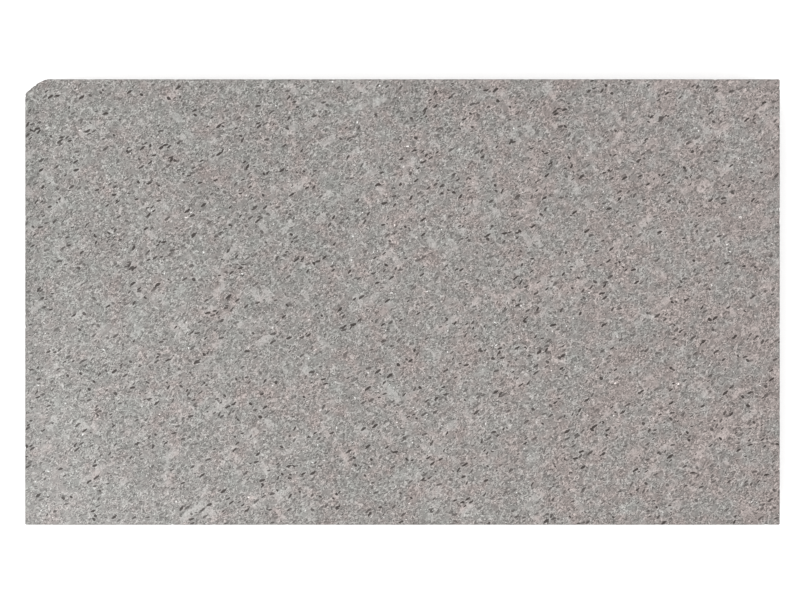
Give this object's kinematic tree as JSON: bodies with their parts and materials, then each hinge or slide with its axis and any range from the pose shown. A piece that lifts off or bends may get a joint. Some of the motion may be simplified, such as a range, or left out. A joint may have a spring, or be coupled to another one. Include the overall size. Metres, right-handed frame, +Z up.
{
  "type": "granite slab",
  "caption": "Polished grey granite bench slab with a clipped corner, on stick-on rubber feet: a heavy flat surface for stamping, tooling and skiving leather.",
  "frame": {"origin": "on the bench, level with the soles of the feet, under the middle of the slab", "axes": "+X along the slab's long sides; +Y across it, towards the side with the clipped corner, which is at -X, +Y; +Z up, out of the polished face"},
  "size_m": [0.508, 0.3, 0.0374],
  "materials": {
    "granite": "grey granite, polished on the face, sawn on the sides and back",
    "foot_rubber": "matt moulded black rubber",
    "foam_tape": "matt closed-cell foam"
  },
  "bodies": {
    "root": {"granite_slab": "granite", "foot_front_left": "foot_rubber", "foot_front_right": "foot_rubber", "foot_back_left": "foot_rubber", "foot_back_right": "foot_rubber", "adhesive_front_left": "foam_tape", "adhesive_front_right": "foam_tape", "adhesive_back_left": "foam_tape", "adhesive_back_right": "foam_tape"}
  },
  "joints": []
}
